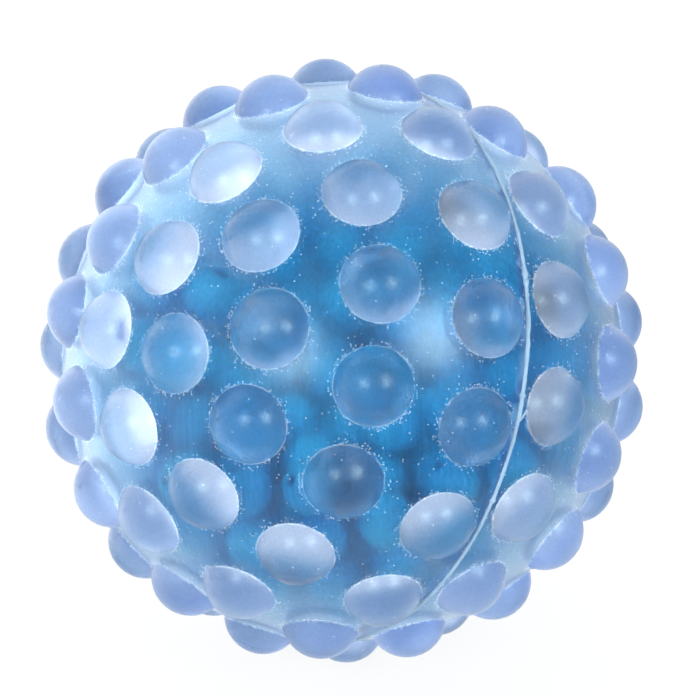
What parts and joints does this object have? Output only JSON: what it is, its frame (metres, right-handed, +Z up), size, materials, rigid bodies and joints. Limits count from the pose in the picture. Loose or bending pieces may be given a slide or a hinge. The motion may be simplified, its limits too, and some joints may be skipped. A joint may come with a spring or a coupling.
{
  "type": "sensory ball",
  "caption": "Hollow translucent vinyl ball with solid round knobs all over, welded from two half shells and loosely filled with round beads that roll and rattle when it is turned or shaken.",
  "frame": {"origin": "centre of the ball", "axes": "+Z up with the ball lying on three of its knobs; -Y towards the viewer; the front half shell's pole points left, forward and a little up"},
  "size_m": [0.0693, 0.0693, 0.0683],
  "materials": {
    "vinyl": "frosted translucent lilac-blue soft vinyl",
    "weld": "whitened vinyl weld, slightly ragged",
    "bead": "smooth turquoise plastic"
  },
  "bodies": {
    "shell": {"front_half_shell": "vinyl", "rear_half_shell": "vinyl", "seam_weld": "weld"},
    "outer_beads": {"outer_beads_1": "bead", "outer_beads_2": "bead", "outer_beads_3": "bead", "outer_beads_4": "bead", "outer_beads_5": "bead", "outer_beads_6": "bead", "outer_beads_7": "bead", "outer_beads_8": "bead", "outer_beads_9": "bead", "outer_beads_10": "bead", "outer_beads_11": "bead", "outer_beads_12": "bead"},
    "middle_beads": {"middle_beads_1": "bead", "middle_beads_2": "bead", "middle_beads_3": "bead", "middle_beads_4": "bead", "middle_beads_5": "bead", "middle_beads_6": "bead", "middle_beads_7": "bead", "middle_beads_8": "bead"},
    "inner_beads": {"inner_beads_1": "bead", "inner_beads_2": "bead", "inner_beads_3": "bead", "inner_beads_4": "bead", "inner_beads_5": "bead", "inner_beads_6": "bead"}
  },
  "joints": [
    {"name": "outer_roll", "type": "hinge", "parent": "shell", "child": "outer_beads", "pos_m": [0, 0, 0], "axis": [1, 0, 0], "continuous": true},
    {"name": "middle_roll", "type": "hinge", "parent": "outer_beads", "child": "middle_beads", "pos_m": [0, 0, 0], "axis": [0, 1, 0], "continuous": true},
    {"name": "inner_swirl", "type": "hinge", "parent": "middle_beads", "child": "inner_beads", "pos_m": [0, 0, 0], "axis": [0, 0, 1], "continuous": true}
  ]
}
